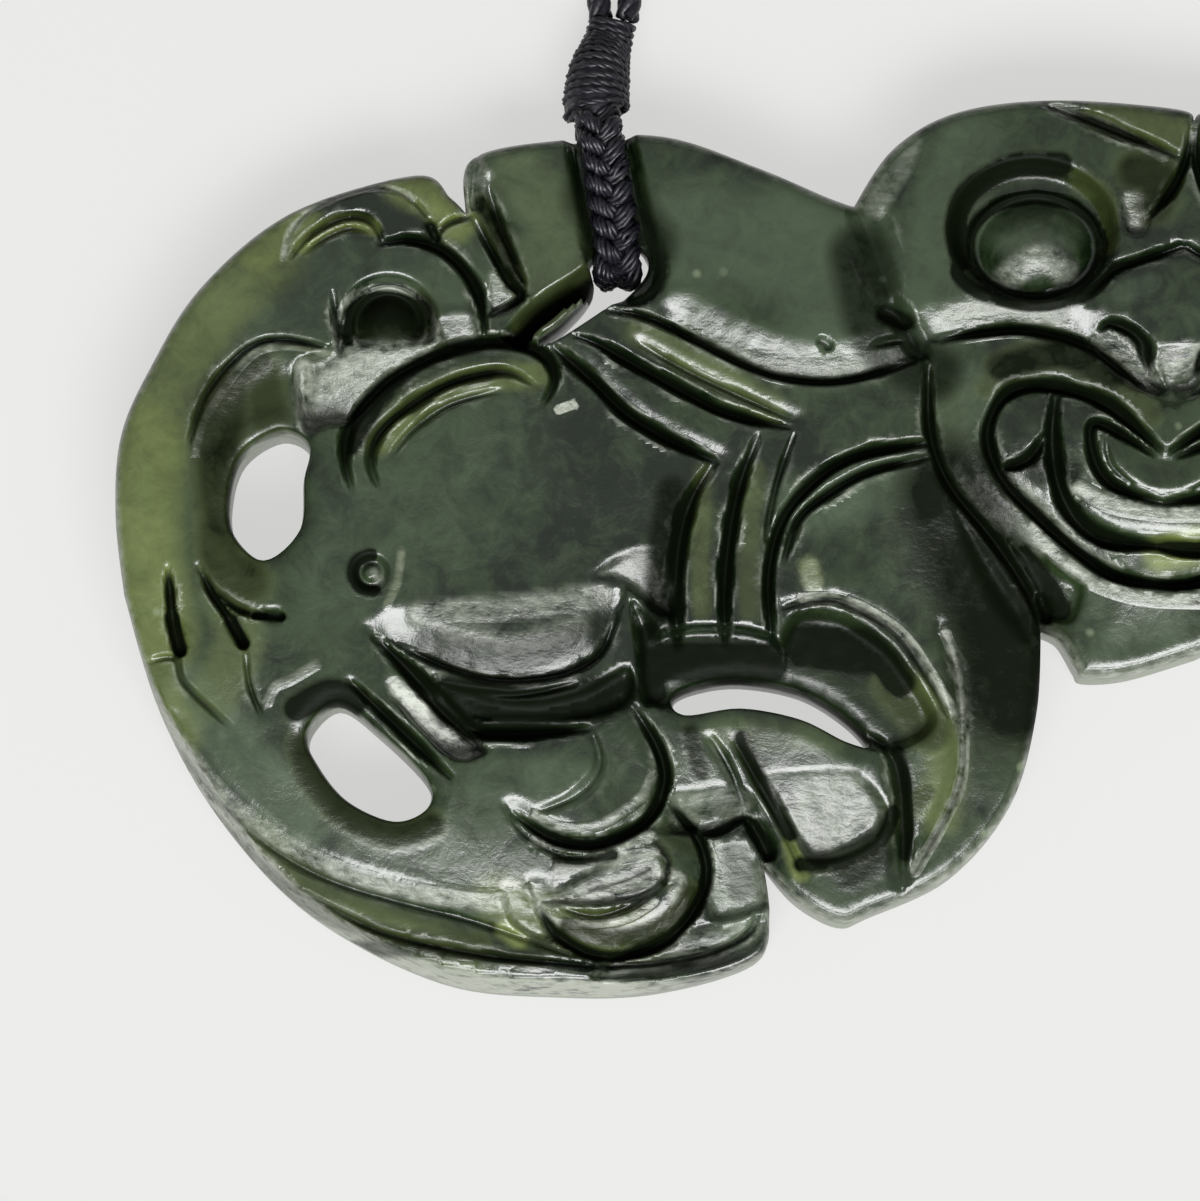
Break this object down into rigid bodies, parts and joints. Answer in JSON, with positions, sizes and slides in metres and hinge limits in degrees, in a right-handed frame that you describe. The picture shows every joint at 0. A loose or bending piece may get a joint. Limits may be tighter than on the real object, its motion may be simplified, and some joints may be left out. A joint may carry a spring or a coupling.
{
  "type": "hei tiki pendant",
  "caption": "Flat jade pendant carved as a crouching figure with a tilted head and ring eyes, hung on a plaited loop, a thread binding and an adjustable neck cord, lying on its back.",
  "frame": {"origin": "on the flat back, under the middle of the carved figure's outline", "axes": "+X along the figure towards the free side of its head, +Y towards the cord, +Z out of the carved front"},
  "size_m": [0.1158, 0.1078, 0.009],
  "materials": {
    "jade": "polished, slightly translucent",
    "waxed_cord": "waxed plait, satin",
    "binding_thread": "waxed thread, satin"
  },
  "bodies": {
    "root": {"tiki": "jade", "hanging_plait": "waxed_cord", "thread_binding": "binding_thread", "neck_cord_left": "waxed_cord", "neck_cord_right": "waxed_cord", "slide_knot_left": "waxed_cord", "slide_knot_right": "waxed_cord"}
  },
  "joints": []
}
